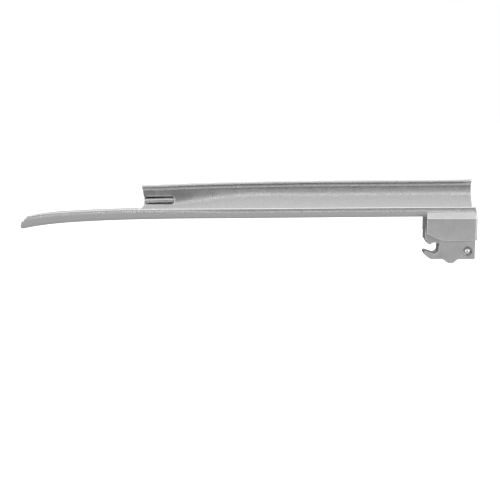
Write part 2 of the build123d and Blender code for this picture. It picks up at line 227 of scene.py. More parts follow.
def circle3(p, q, r):
    """Centre and radius of the circle through three plane points."""
    ax, ay = p; bx, by = q; cx, cy = r
    d = 2 * (ax * (by - cy) + bx * (cy - ay) + cx * (ay - by))
    ux = ((ax * ax + ay * ay) * (by - cy) + (bx * bx + by * by) * (cy - ay) + (cx * cx + cy * cy) * (ay - by)) / d
    uy = ((ax * ax + ay * ay) * (cx - bx) + (bx * bx + by * by) * (ax - cx) + (cx * cx + cy * cy) * (bx - ax)) / d
    return ux, uy, math.hypot(ax - ux, ay - uy)


def arc_points(p, q, r, n):
    """n + 1 points on the arc from p through q to r."""
    ux, uy, R = circle3(p, q, r)
    a0 = math.atan2(p[1] - uy, p[0] - ux); a1 = math.atan2(q[1] - uy, q[0] - ux); a2 = math.atan2(r[1] - uy, r[0] - ux)
    tau = 2 * math.pi
    ccw = ((a1 - a0) % tau) < ((a2 - a0) % tau)
    sweep = (a2 - a0) % tau if ccw else -((a0 - a2) % tau)
    return [(ux + R * math.cos(a0 + sweep * i / n), uy + R * math.sin(a0 + sweep * i / n)) for i in range(n + 1)]


def inside(poly, pts):
    """Which points lie inside the closed polygon."""
    px, py = poly[:, 0], poly[:, 1]
    qx, qy = np.roll(px, -1), np.roll(py, -1)
    res = np.zeros(len(pts), bool)
    for i, (x, y) in enumerate(pts):
        c = (py > y) != (qy > y)
        if c.any():
            xi = (qx[c] - px[c]) * (y - py[c]) / (qy[c] - py[c]) + px[c]
            res[i] = np.count_nonzero(xi > x) % 2 == 1
    return res


def clear_of(poly, pts, gap):
    """Which points stand at least gap away from the polygon's outline."""
    a = poly; b = np.roll(poly, -1, axis=0)
    d = b - a; L = (d ** 2).sum(1); L[L == 0] = 1e-12
    keep = np.ones(len(pts), bool)
    for i, p in enumerate(pts):
        t = np.clip(((p - a) * d).sum(1) / L, 0, 1)
        q = a + d * t[:, None]
        keep[i] = ((q - p) ** 2).sum(1).min() > gap * gap
    return keep


# =====================================================================
# The sheet: trough, web and curled flange, then trimmed
# =====================================================================
SHEET = 1.1
X_REAR, X_TIP = 17.5, -184.3
TIP_CUT = 1.1
WINDOW_Z, WINDOW_R, WINDOW_END = 20.93, 1.62, -118.0
RIM_Z = [(20, 19.35), (0, 19.3), (-30, 19.12), (-60, 18.88), (-90, 18.68), (-110, 18.58),
         (-125, 18.47), (-140, 18.28), (-153, 17.8), (-164, 17.22), (-173, 16.45), (-180, 15.45), (-188, 13.9)]
DEPTH = [(20, 4.85), (0, 4.85), (-60, 4.92), (-100, 5.05), (-125, 5.3), (-140, 5.5), (-160, 5.6),
         (-173, 5.8), (-188, 5.95)]
TOP_H = [(20, 11.15), (0, 10.95), (-60, 10.9), (-90, 10.5), (-110, 10.0), (-125, 9.55), (-188, 9.0)]
HEEL_MID = [(-5.75, -0.55), (-5.5, -2.1), (-4.0, -3.7), (-1.6, -4.3), (0.9, -3.55), (2.9, -1.6),
            (4.55, 1.0), (5.85, 4.0), (6.45, 6.9), (6.45, 8.9), (5.5, 10.25), (3.7, 10.55)]
TIP_MID = [(-5.75, -0.55), (-5.3, -2.2), (-3.5, -3.85), (-0.7, -4.7), (2.1, -4.25), (4.3, -2.7),
           (5.65, -0.6), (6.25, 2.6), (6.45, 5.8), (6.4, 7.6), (5.45, 8.85), (3.7, 9.15)]
STATIONS = [17.5, 0, -30, -60, -90, -110, -125, -140, -153, -164, -173, -180, -188]


def table_at(table, x):
    xs = [t[0] for t in table][::-1]; vs = [t[1] for t in table][::-1]
    return float(np.interp(x, xs, vs))


def station(x):
    w = min(max((-82.0 - x) / 46.0, 0.0), 1.0); w = w * w * (3 - 2 * w)
    rim, depth, top = table_at(RIM_Z, x), table_at(DEPTH, x), table_at(TOP_H, x)
    base = 4.85 + 0.4 * w; tall = 11.1 - 1.4 * w
    out = []
    for (ya, za), (yb, zb) in zip(HEEL_MID, TIP_MID):
        y = ya + (yb - ya) * w; z = za + (zb - za) * w
        z = z * (depth - SHEET / 2) / (base - SHEET / 2) if z < 0 else z * (top - SHEET / 2) / (tall - SHEET / 2)
        out += [y, rim + z]
    return out


_along = natural(STATIONS[::-1], [station(x) for x in STATIONS[::-1]])
GX = np.arange(-188.0, 17.51, 0.5)
NS = 481
GS = np.linspace(0, 1, NS)
_ctrl = _along(GX).reshape(len(GX), 12, 2)
GY = np.zeros((len(GX), NS)); GZ = np.zeros((len(GX), NS))
for i in range(len(GX)):
    c = _ctrl[i]
    u = np.concatenate([[0], np.cumsum(np.hypot(*np.diff(c, axis=0).T))])
    p = natural(u, c)(np.linspace(0, u[-1], 900))
    s = np.concatenate([[0], np.cumsum(np.hypot(*np.diff(p, axis=0).T))]); s /= s[-1]
    GY[i] = np.interp(GS, s, p[:, 0]); GZ[i] = np.interp(GS, s, p[:, 1])
YX, YS = np.gradient(GY, GX, GS); ZX, ZS = np.gradient(GZ, GX, GS)
NX = YS * ZX - ZS * YX; NY = ZS; NZ = -YS
NN = np.sqrt(NX ** 2 + NY ** 2 + NZ ** 2); NX, NY, NZ = NX / NN, NY / NN, NZ / NN


def grid_at(G, x, s):
    x = np.clip(np.asarray(x, float), GX[0], GX[-1]); s = np.clip(np.asarray(s, float), 0, 1)
    fx = (x - GX[0]) / 0.5; i = np.clip(fx.astype(int), 0, len(GX) - 2); fx = fx - i
    fs = s * (NS - 1); j = np.clip(fs.astype(int), 0, NS - 2); fs = fs - j
    return (G[i, j] * (1 - fx) * (1 - fs) + G[i + 1, j] * fx * (1 - fs) + G[i, j + 1] * (1 - fx) * fs + G[i + 1, j + 1] * fx * fs)


def point(x, s):
    x = np.asarray(x, float)
    return np.stack([x, grid_at(GY, x, s), grid_at(GZ, x, s)], -1)


def normal(x, s):
    v = np.stack([grid_at(NX, x, s), grid_at(NY, x, s), grid_at(NZ, x, s)], -1)
    return v / np.linalg.norm(v, axis=-1, keepdims=True)


LS = 25.0                       # millimetres of sheet across the section, to scale the domain


def s_left(x, z):
    """Arc position on the left side at height z (below the curl)."""
    i = int(np.clip(round((x - GX[0]) / 0.5), 0, len(GX) - 1))
    zz = GZ[i]; b = int(np.argmin(zz)); t = int(np.argmax(zz[b:])) + b
    return float(np.interp(z, zz[b:t + 1], GS[b:t + 1]))


def rim_at(x):
    return table_at(RIM_Z, x)


WEB_EDGE = [(18.9, -129.75), (20.0, -129.8), (24.5, -130.35), (28.0, -130.9), (31.0, -131.0)]


def web_x(z):
    return float(np.interp(z, [w[0] for w in WEB_EDGE], [w[1] for w in WEB_EDGE]))


INSET = 0.5
_far = natural([190, 180, 173, 164, 158.5, 153, 148, 140, 132.6], [[0]] * 9)
far_x = np.array([-190, -180, -173, -164, -158.5, -153, -148, -140, -132.6])
far_f = natural(far_x, [rim_at(x) - TIP_CUT for x in far_x])


def far_z(x):
    return float(far_f(x)[0, 0])


NOSE = np.array([(-174.5, 17.0), (-177.1, 16.15), (-179.2, 15.5), (-180.7, 14.7), (-182.1, 13.4), (-183.1, 12.1), (-183.7, 10.9), (-184.0, 10.0), (-184.2, 9.0), (-184.3, 7.0)])
_nu = np.concatenate([[0], np.cumsum(np.hypot(*np.diff(NOSE, axis=0).T))])
_np = natural(_nu, NOSE)(np.linspace(0, _nu[-1], 300))


def nose_x(z):
    return float(np.interp(z, _np[::-1, 1], _np[::-1, 0]))


PLAN = arc_points((-176.8, 5.6), (-182.4, 3.5), (X_TIP, -0.8), 60) + arc_points((X_TIP, -0.8), (-183.75, -4.6), (-180.6, -7.2), 60)[1:]
_py = np.array([p[1] for p in PLAN])[::-1]; _px = np.array([p[0] for p in PLAN])[::-1]


def tip_x(s):
    x = -181.0
    for _ in range(25):
        y, z = float(grid_at(GY, x, s)), float(grid_at(GZ, x, s))
        xp = float(np.interp(y, _py, _px))
        x = 0.5 * x + 0.5 * (max(xp, nose_x(z + 0.1)) if y > -1.5 else nose_x(z + 0.1))
    return x + INSET


def boundary(lip):
    """Closed outline in (x, s) with a kind per point: 'rim', 'cut' or 'slot'. lip widens the window slot."""
    out = []

    def put(x, s, kind):
        out.append((x, s, kind))
    # near rim, tip to rear
    x0 = tip_x(0.0)
    for x in np.arange(x0 + 0.6, X_REAR - INSET - 0.3, 0.9):
        put(x, 0.0, 'rim')
    # rear edge
    for s in np.linspace(0, 1, 56):
        put(X_REAR - INSET, s, 'rim' if s in (0.0, 1.0) else 'cut')
    # flange edge, rear to distal
    zt = float(grid_at(GZ, -130.0, 1.0))
    xw = web_x(zt) + INSET
    for x in np.arange(X_REAR - INSET - 0.9, xw + 0.3, -0.9):
        put(x, 1.0, 'rim')
    # web's distal edge down to the window
    top = WINDOW_Z + WINDOW_R + lip
    s_top = s_left(-129.5, top)
    for s in np.linspace(1.0, s_top, 26):
        z = float(grid_at(GZ, -130.0, s))
        put(web_x(z) + INSET, s, 'rim' if s == 1.0 else 'cut')
    # window slot
    r = WINDOW_R + lip
    xs = np.linspace(-129.4, WINDOW_END, 22)
    for x in xs[1:]:
        put(x, s_left(x, WINDOW_Z + r), 'slot')
    for k in range(1, 20):
        a = math.pi / 2 - math.pi * k / 20
        x = WINDOW_END + r * math.cos(a)
        put(x, s_left(x, WINDOW_Z + r * math.sin(a)), 'slot')
    for x in xs[::-1][:-1]:
        put(x, s_left(x, WINDOW_Z - r), 'slot')
    # foot: sweeps from the lower lip into the spatula's far edge
    foot = arc_points((-129.55, WINDOW_Z - r - 0.02), (-130.2, 17.35 - 0.35 * lip), (-132.6, far_z(-132.6) - INSET), 12)
    for x, z in foot:
        put(x, s_left(x, z), 'cut')
    # far edge of the bare spatula
    x = -133.4
    while x > -190:
        s = s_left(x, far_z(x) - INSET)
        if x < tip_x(s) + 0.5:
            break
        put(x, s, 'cut'); x -= 0.9
    # round the tip
    s_end = s_left(x, far_z(x) - INSET)
    for s in np.linspace(s_end, 0.0, 60):
        put(tip_x(s), s, 'tip')
    return out


def mesh_sheet():
    out_b = boundary(0.0)
    in_b = boundary(0.75)
    n = len(out_b); assert n == len(in_b)

    def surface(bound, side):
        dom = np.array([(b[0], b[1] * LS) for b in bound])
        gx = np.concatenate([np.arange(-184, -165, 0.7), np.arange(-165, 17.4, 1.4)])
        gs = np.concatenate([np.linspace(0, 0.12, 12)[1:-1], np.linspace(0.12, 0.80, 34), np.linspace(0.80, 1.0, 30)[1:-1]]) * LS
        pts = np.array([(x + (0.35 if k % 2 else 0), s) for k, s in enumerate(gs) for x in gx])
        pts = pts[inside(dom, pts)]
        pts = pts[clear_of(dom, pts, 0.2)]
        allp = [Vector(p) for p in np.vstack([dom, pts])]
        vs, es, fs, ov, oe, of_ = delaunay_2d_cdt(allp, [], [list(range(n))], 1, 1e-5)
        # output order follows the input when nothing merges
        order = [o[0] if o else None for o in ov]
        idx = {o: k for k, o in enumerate(order)}
        xy = np.array([(v[0], v[1] / LS) for v in vs])
        P = point(xy[:, 0], xy[:, 1]); N = normal(xy[:, 0], xy[:, 1])
        Q = P + N * side * SHEET / 2
        tri = []
        for f in fs:
            f = list(f)
            a, b, c = Q[f[0]], Q[f[1]], Q[f[2]]
            if np.dot(np.cross(b - a, c - a), N[f[0]]) * side < 0:
                f = f[::-1]
            tri.append(f)
        ring = [idx[k] for k in range(n)]
        return Q, N * side, tri, ring
    Qo, No, To, Ro = surface(out_b, 1.0)
    Qi, Ni, Ti, Ri = surface(in_b, -1.0)
    verts = list(Qo) + list(Qi); norms = list(No) + list(Ni)
    faces = [list(f) for f in To] + [[v + len(Qo) for v in f] for f in Ti]
    Rin = [r + len(Qo) for r in Ri]
    # rounded edge all round
    bo = np.array([(b[0], b[1]) for b in out_b])
    Pm = point(bo[:, 0], bo[:, 1]); Nm = normal(bo[:, 0], bo[:, 1])
    tang = np.roll(Pm, -1, axis=0) - np.roll(Pm, 1, axis=0)
    tang /= np.linalg.norm(tang, axis=1, keepdims=True)
    side = np.cross(tang, Nm); side /= np.linalg.norm(side, axis=1, keepdims=True)
    # the outward side is away from the sheet's inside
    j = 20
    if np.dot(side[j], np.array([0, 0, 1.0])) < 0:
        side = -side
    steps = 8
    rings = [Ro]
    for k in range(1, steps):
        a = math.pi * k / steps
        ring = []
        for i in range(n):
            kind = out_b[i][2]
            if kind == 'slot':
                # countersunk lip: straight flank with small rounds at both ends
                t = k / steps
                t2 = t * t * (3 - 2 * t) * 0.25 + t * 0.75
                p = Qo[Ro[i]] * (1 - t2) + Qi[Ri[i]] * t2 + side[i] * 0.10 * math.sin(math.pi * t)
                nn = side[i] * 0.75 + (Nm[i] * math.cos(a)) * 0.9 - Nm[i] * 0.25
            elif kind == 'cut':
                e = 0.45
                ca, sa = math.cos(a), math.sin(a)
                p = Pm[i] + 0.55 * (Nm[i] * math.copysign(abs(ca) ** e, ca) + side[i] * abs(sa) ** e * 0.91)
                nn = Nm[i] * math.copysign(abs(ca) ** (2 - e), ca) + side[i] * abs(sa) ** (2 - e)
            else:
                p = Pm[i] + 0.55 * (Nm[i] * math.cos(a) + side[i] * math.sin(a))
                nn = Nm[i] * math.cos(a) + side[i] * math.sin(a)
            verts.append(p); norms.append(nn / np.linalg.norm(nn)); ring.append(len(verts) - 1)
        rings.append(ring)
    rings.append(Rin)
    V = np.array(verts)
    for ra, rb in zip(rings, rings[1:]):
        for i in range(n):
            jn = (i + 1) % n
            f = [ra[i], ra[jn], rb[jn], rb[i]]
            c = V[f]
            nn = np.cross(c[1] - c[0], c[2] - c[0]) + np.cross(c[2] - c[0], c[3] - c[0])
            faces.append(f)
    # consistent orientation from the near rim's crown
    f = faces[len(To) + len(Ti) + n * 3 + 40]
    c = V[f]
    if np.dot(np.cross(c[1] - c[0], c[2] - c[0]), side[40]) < 0:
        k0 = len(To) + len(Ti)
        faces[k0:] = [g[::-1] for g in faces[k0:]]
    # the rims, tip and slot lips: polished after blasting, and their brighter colour is a painted highlight
    polish_highlight_faces = []
    k0 = len(To) + len(Ti)
    for r in range(len(rings) - 1):
        for i in range(n):
            if 1 <= r <= steps - 2 and out_b[i][2] in ('rim', 'tip', 'slot') and out_b[(i + 1) % n][2] in ('rim', 'tip', 'slot'):
                polish_highlight_faces.append(k0 + r * n + i)
    return V, faces, np.array(norms), polish_highlight_faces


V, F, N, POL_HIGHLIGHT = mesh_sheet()
blade = new_object('blade_sheet', V, F, mat_blade, N)
blade.data.materials.append(mat_rim_polish_highlight)
for k in POL_HIGHLIGHT:
    blade.data.polygons[k].material_index = 1
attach(blade, 'blade_body'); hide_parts('blade')

# =====================================================================
# The hook plate, with rounded bevels round its outline
# =====================================================================
LUG_HALF = 3.7
BALL_X, BALL_Z, BUSH_R = 14.8, -0.9, 2.17


def lug_outline():
    """(x, z, bevel) round the plate; bevel is the width of the edge's rounding."""
    pts = []

    def line(a, b, bev, n=1):
        for k in range(n):
            t = k / n
            pts.append((a[0] + (b[0] - a[0]) * t, a[1] + (b[1] - a[1]) * t, bev))

    def arc(a, m, b, bev, n):
        for p in arc_points(a, m, b, n)[:-1]:
            pts.append((p[0], p[1], bev))
    arc((17.9, -4.65), (18.11, -4.56), (18.2, -4.35), 0.3, 4)
    line((18.2, -4.35), (18.2, 10.3), 0.25, 20)
    arc((18.2, 10.3), (18.14, 10.44), (18.0, 10.5), 0.12, 3)
    line((18.0, 10.5), (-3.9, 10.5), 0.12, 24)
    arc((-3.9, 10.5), (-4.04, 10.44), (-4.1, 10.3), 0.12, 3)
    line((-4.1, 10.3), (-4.12, 9.6), 0.2, 2)
    line((-4.12, 9.6), (-4.3, 8.6), 0.4, 3)
    line((-4.3, 8.6), (-4.3, 4.75), 0.45, 8)
    arc((-4.3, 4.75), (-4.2, 4.35), (-3.95, 4.08), 0.45, 5)
    line((-3.95, 4.08), (-3.72, 3.86), 0.35, 2)
    arc((-3.72, 3.86), (-3.5, 3.5), (-3.3, 3.0), 0.3, 5)
    arc((-3.3, 3.0), (-2.3, 2.15), (-1.35, 2.5), 0.3, 14)
    arc((-1.35, 2.5), (-1.08, 2.76), (-0.75, 2.88), 0.3, 5)
    line((-0.75, 2.88), (1.15, 2.9), 0.3, 6)
    arc((1.15, 2.9), (1.82, 2.65), (2.07, 2.0), 0.3, 9)
    line((2.07, 2.0), (1.8395, 0.4755), 0.35, 6)
    arc((1.8395, 0.4755), (1.1, -1.549), (-0.651, -1.785), 0.45, 22)
    line((-0.651, -1.785), (-3.55, -0.74), 0.45, 10)
    arc((-3.55, -0.74), (-4.32, -1.15), (-4.28, -2.0), 0.45, 12)
    arc((-4.28, -2.0), (-2.75, -3.85), (0.4, -4.65), 0.55, 18)
    line((0.4, -4.65), (3.8, -4.65), 0.55, 8)
    arc((3.8, -4.65), (4.1, -4.72), (4.35, -4.93), 0.55, 4)
    line((4.35, -4.93), (5.6, -5.88), 0.55, 5)
    arc((5.6, -5.88), (7.4, -6.5), (9.2, -5.88), 0.55, 14)
    line((9.2, -5.88), (10.4, -4.95), 0.55, 5)
    arc((10.4, -4.95), (10.65, -4.74), (11.0, -4.65), 0.55, 4)
    line((11.0, -4.65), (17.9, -4.65), 0.55, 14)
    return pts


def plate(name, outline, half, hole, mat):
    """Plate across Y with a rounded edge of varying width, and a round hole in both faces."""
    P = np.array([(p[0], p[1]) for p in outline]); bev = np.array([p[2] for p in outline])
    # ease the bevel width along the outline
    for _ in range(2):
        bev = (np.roll(bev, 1) + 2 * bev + np.roll(bev, -1)) / 4
    area = 0.5 * np.sum(P[:, 0] * np.roll(P[:, 1], -1) - np.roll(P[:, 0], -1) * P[:, 1])
    a = P - np.roll(P, 1, axis=0); b = np.roll(P, -1, axis=0) - P
    la = np.linalg.norm(a, axis=1, keepdims=True); lb = np.linalg.norm(b, axis=1, keepdims=True)
    a /= la; b /= lb
    na = np.stack([a[:, 1], -a[:, 0]], 1); nb = np.stack([b[:, 1], -b[:, 0]], 1)
    if area < 0:
        na, nb = -na, -nb
    no = na + nb; no /= np.linalg.norm(no, axis=1, keepdims=True)
    mit = 1 / np.clip((no * na).sum(1), 0.5, 1)
    n = len(P)
    verts, faces, vn = [], [], {}
    rings = []
    steps = 5
    for sgn in (-1, 1):
        seq = []
        for k in range(steps + 1):
            t = math.pi / 2 * k / steps
            ins = bev * (1 - math.cos(t)) * mit
            yy = half - bev * (1 - math.sin(t))
            ring = []
            for i in range(n):
                q = P[i] - no[i] * ins[i]
                verts.append((q[0], sgn * yy[i], q[1])); ring.append(len(verts) - 1)
                vn[len(verts) - 1] = (no[i][0] * math.cos(t), sgn * math.sin(t), no[i][1] * math.cos(t))
            seq.append(ring)
        rings.append(seq)
    # strip round the waist, then both roundings
    order = rings[0][::-1] + rings[1]
    for ra, rb in zip(order, order[1:]):
        for i in range(n):
            j = (i + 1) % n
            faces.append([ra[i], ra[j], rb[j], rb[i]])
    # faces with the hole
    hx, hz, hr = hole
    for sgn, seq in ((-1, rings[0]), (1, rings[1])):
        ring = seq[-1]
        dom = [Vector((verts[v][0], verts[v][2])) for v in ring]
        hn = 64
        hp = [Vector((hx + hr * math.cos(2 * math.pi * k / hn), hz + hr * math.sin(2 * math.pi * k / hn))) for k in range(hn)]
        vs, es, fs, ov, oe, of_ = delaunay_2d_cdt(dom + hp, [(n + k, n + (k + 1) % hn) for k in range(hn)], [list(range(n))], 1, 1e-6)
        src = [o[0] for o in ov]
        base = len(verts)
        mp = {}
        for k, v in enumerate(vs):
            if src[k] < n:
                mp[k] = ring[src[k]]
            else:
                verts.append((v[0], sgn * half, v[1])); mp[k] = len(verts) - 1
                vn[len(verts) - 1] = (0.0, float(sgn), 0.0)
        for f in fs:
            if all(src[k] >= n for k in f):
                continue
            faces.append([mp[k] for k in f])
        hole_ids = {src[k]: mp[k] for k in range(len(vs)) if src[k] >= n}
        rim = [hole_ids[n + k] for k in range(hn)]
        deep = []
        for k in range(hn):
            x, y, z = verts[rim[k]]
            verts.append((x, sgn * (half - 2.2), z)); deep.append(len(verts) - 1)
        for k in range(hn):
            j = (k + 1) % hn
            faces.append([rim[k], rim[j], deep[j], deep[k]])
        faces.append(deep)
    me_o = new_object(name, verts, faces, mat)
    bm = bmesh.new(); bm.from_mesh(me_o.data)
    bmesh.ops.recalc_face_normals(bm, faces=bm.faces)
    bm.to_mesh(me_o.data); bm.free()
    me = me_o.data
    loop_n = [(0.0, 0.0, 0.0)] * len(me.loops)
    for poly in me.polygons:
        poly.use_smooth = True
        bore = any(v not in vn for v in poly.vertices)
        for li in poly.loop_indices:
            v = me.loops[li].vertex_index
            if bore:
                x, y, z = verts[v]
                d = Vector((hx - x, 0, hz - z))
                loop_n[li] = tuple(d.normalized()) if d.length > 1e-6 and len(poly.vertices) == 4 else tuple(poly.normal)
            else:
                loop_n[li] = vn[v]
    me.normals_split_custom_set(loop_n)
    return me_o


def even(ob):
    """Flat faces keep their own normal; only the roundings between them shade softly."""
    wn_ = ob.modifiers.new('even', 'WEIGHTED_NORMAL')
    wn_.keep_sharp = True
    wn_.weight = 100
    wn_.mode = 'FACE_AREA'


def smooth_by_angle(ob, degrees):
    me = ob.data
    me.set_sharp_from_angle(angle=math.radians(degrees))
    for p in me.polygons:
        p.use_smooth = True


lug = plate('hook_plate', lug_outline(), LUG_HALF, (BALL_X, BALL_Z, BUSH_R + 0.005), mat_hook)
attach(lug, 'blade_body'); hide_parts('hook_lug')

# =====================================================================
# The heel block: CAD block with its machined edges eased
# =====================================================================


def eased(node, name, mat, width, angle, segments=3, keep=None):
    """A copy of a node's mesh, flat faces rejoined and sharp edges rounded."""
    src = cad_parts[node]
    me = src.data.copy(); me.name = name
    ob = bpy.data.objects.new(name, me); scene.collection.objects.link(ob)
    ob.matrix_world = src.matrix_world.copy()
    bm = bmesh.new(); bm.from_mesh(me)
    bmesh.ops.remove_doubles(bm, verts=bm.verts, dist=2e-6)
    bmesh.ops.dissolve_degenerate(bm, edges=bm.edges, dist=2e-6)
    bmesh.ops.dissolve_limit(bm, angle_limit=math.radians(1.0), verts=bm.verts, edges=bm.edges)
    es = []
    for e in bm.edges:
        if len(e.link_faces) == 2 and e.calc_face_angle(0) > math.radians(angle):
            c = ob.matrix_world @ ((e.verts[0].co + e.verts[1].co) / 2)
            if keep is None or keep(c * 1000, e):
                es.append(e)
    made = bmesh.ops.bevel(bm, geom=es, offset=width * MM, offset_type='OFFSET', segments=segments, profile=0.5,
                    affect='EDGES', clamp_overlap=False, miter_outer='SHARP', miter_inner='SHARP', harden_normals=False)
    # the rounded faces take the edge material, whose brighter colour is a painted highlight
    for f in made['faces']:
        f.material_index = 1
    bmesh.ops.recalc_face_normals(bm, faces=bm.faces)
    bmesh.ops.triangulate(bm, faces=[f for f in bm.faces if len(f.verts) > 4])
    if me.has_custom_normals:
        pass
    bm.to_mesh(me); bm.free()
    idx = [p_.material_index for p_ in me.polygons]
    me.materials.clear(); me.materials.append(mat); me.materials.append(mat_edge_polish_highlight)
    me.polygons.foreach_set('material_index', idx)
    return ob


def block_edges(c, e):
    """The block's own machined edges: not the seat of the sheet nor the bores."""
    a, b = [(v.co) for v in e.verts]
    if e.calc_face_angle(0) < math.radians(28):
        return abs(c.z - 14.1) < 0.05 and c.y < -6.5 and abs(a.x - b.x) > 0.005
    if c.z > 14.35 and -5.9 < c.y < 5.2:
        return False
    if (c.x - 8.5) ** 2 + (c.y - 6.5) ** 2 < 3.2 ** 2 and c.z < 13:
        return False
    return True


block = eased('heel_block', 'heel_block_eased', mat_block, 0.30, 12, 3, block_edges)
smooth_by_angle(block, 32)
even(block)
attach(block, 'blade_body'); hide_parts('heel_block')

# =====================================================================
# Turned pieces: detent bushes, balls and the ferrule
# =====================================================================


def turned(name, profile, origin, axis, mat, n=96, closed=True, angle=40):
    """Revolves (radius, height) points about an axis through origin (mm)."""
    az = Vector(axis).normalized()
    ax = az.orthogonal().normalized(); ay = az.cross(ax)
    verts, faces = [], []
    m = len(profile)
    for k in range(n):
        t = 2 * math.pi * k / n
        d = ax * math.cos(t) + ay * math.sin(t)
        for r, h in profile:
            verts.append(tuple(Vector(origin) + d * r + az * h))
    for k in range(n):
        k2 = (k + 1) % n
        for i in range(m if closed else m - 1):
            j = (i + 1) % m
            faces.append([k * m + i, k2 * m + i, k2 * m + j, k * m + j])
    ob = new_object(name, verts, faces, mat)
    bm = bmesh.new(); bm.from_mesh(ob.data)
    bmesh.ops.remove_doubles(bm, verts=bm.verts, dist=1e-7)
    bmesh.ops.dissolve_degenerate(bm, edges=bm.edges, dist=1e-8)
    bmesh.ops.recalc_face_normals(bm, faces=bm.faces)
    bm.to_mesh(ob.data); bm.free()
    smooth_by_angle(ob, angle)
    return ob


def bush_profile():
    """Sleeve with a rounded shoulder and a dished, staked lip round the ball."""
    p = [(2.17, -2.2), (2.17, -0.13)]
    p += [(2.04 + 0.13 * math.cos(a), -0.13 + 0.13 * math.sin(a)) for a in np.linspace(0, math.pi / 2, 5)[1:]]
    p += [(1.98, 0.0), (1.94, -0.012), (1.86, -0.05)]
    p += [(1.62, -0.155), (1.52, -0.20), (1.47, -0.235), (1.452, -0.265), (1.45, -0.33)]
    p += [(1.65, -0.53), (1.65, -2.2)]
    return p


# sleeves in the dark material: painted shade round each ball
for side, sgn in (('right', -1), ('left', 1)):
    ob = turned('detent_sleeve_' + side, bush_profile(), (BALL_X, sgn * LUG_HALF, BALL_Z), (0, sgn, 0), mat_bush_painted_shade)
    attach(ob, 'blade_body'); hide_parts('detent_bush_' + side)


def ball(name, centre, r, mat):
    bm = bmesh.new()
    bmesh.ops.create_icosphere(bm, subdivisions=6, radius=r * MM, matrix=Matrix.Translation(Vector(centre) * MM))
    me = bpy.data.meshes.new(name); bm.to_mesh(me); bm.free()
    me.materials.append(mat)
    for p in me.polygons:
        p.use_smooth = True
    ob = bpy.data.objects.new(name, me); scene.collection.objects.link(ob)
    return ob


for side, sgn in (('right', -1), ('left', 1)):
    ob = ball('detent_bearing_' + side, (BALL_X, sgn * (LUG_HALF - 1.05), BALL_Z), 1.5875, mat_ball)
    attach(ob, 'ball_' + side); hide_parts('detent_ball_' + side)

# the spring between the balls, in two halves
HALF_SPRING = LUG_HALF - 1.05 - math.sqrt(1.5875 ** 2 - 0.95 ** 2) - 0.15 - 0.06
for side, sgn in (('right', -1), ('left', 1)):
    turns, per, nw = 2.0, 36, 16
    P = []
    for k in range(int(turns * per) + 1):
        t = k / (turns * per)
        a = 2 * math.pi * turns * t * (1 if sgn > 0 else -1)
        P.append(Vector((BALL_X + 0.95 * math.cos(a), sgn * HALF_SPRING * t, BALL_Z + 0.95 * math.sin(a))))
    sv, sf = [], []
    for i, c in enumerate(P):
        t = (P[min(i + 1, len(P) - 1)] - P[max(i - 1, 0)]).normalized()
        rad = Vector((c.x - BALL_X, 0, c.z - BALL_Z)).normalized()
        rad = (rad - t * rad.dot(t)).normalized(); bi = t.cross(rad)
        for k in range(nw):
            a = 2 * math.pi * k / nw
            sv.append(tuple(c + rad * (0.15 * math.cos(a)) + bi * (0.15 * math.sin(a))))
    for i in range(len(P) - 1):
        for k in range(nw):
            j = (k + 1) % nw
            sf.append([i * nw + k, i * nw + j, (i + 1) * nw + j, (i + 1) * nw + k])
    sf.append(list(range(nw))); sf.append([(len(P) - 1) * nw + k for k in range(nw)])
    coil = new_object('spring_half_' + side, sv, sf, mat_spring)
    bm = bmesh.new(); bm.from_mesh(coil.data)
    bmesh.ops.recalc_face_normals(bm, faces=bm.faces)
    bm.to_mesh(coil.data); bm.free()
    smooth_by_angle(coil, 50)
    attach(coil, 'blade_body'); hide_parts('detent_spring')
    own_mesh(coil)

INLET = (8.5, 6.5)
fp = [(1.8, 4.12), (1.84, 4.04), (1.92, 4.0), (2.12, 4.0), (2.2, 4.03), (2.26, 4.09), (2.3, 4.17), (2.3, 8.95), (1.35, 8.95), (1.35, 8.6), (1.05, 8.6), (1.8, 7.0)]
ferrule = turned('inlet_collar', [(r, z) for r, z in fp], (INLET[0], INLET[1], 0), (0, 0, 1), mat_ferrule)
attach(ferrule, 'blade_body'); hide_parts('inlet_ferrule')

# =====================================================================
# Light guide tube, drawn along its route
# =====================================================================
ROUTE = [(-129.9, 6.85, 20.35), (-114.0, 8.45, 20.75), (-80.0, 8.5, 20.3), (-45.0, 7.95, 19.7),
         (-14.0, 7.3, 18.9), (0.5, 6.9, 15.9), (8.5, 6.5, 11.9), (8.5, 6.5, 8.6)]


def route_points():
    """Fine points along straight runs joined by tangent arcs."""
    pts = [Vector(p) for p in ROUTE]
    out = []
    start = pts[0]

    def straight(a, b):
        n = max(int((b - a).length / 0.8), 1)
        for k in range(n):
            out.append(a + (b - a) * k / n)
    for k in range(1, len(pts) - 1):
        u, v = pts[k] - pts[k - 1], pts[k + 1] - pts[k]
        a, b = u.normalized(), v.normalized()
        reach = 0.45 * min(u.length, v.length, 22.0)
        if k == len(pts) - 2:
            reach = 2.9
        p = pts[k] - a * reach
        q = pts[k] + b * reach
        straight(start, p)
        th = a.angle(b)
        R = reach / math.tan(th / 2)
        nv = (b - a * a.dot(b)).normalized()
        n = max(int(R * th / 0.6), 2)
        for i in range(n):
            f = th * i / n
            out.append(p + a * (R * math.sin(f)) + nv * (R * (1 - math.cos(f))))
        start = q
    straight(start, pts[-1]); out.append(pts[-1])
    return out


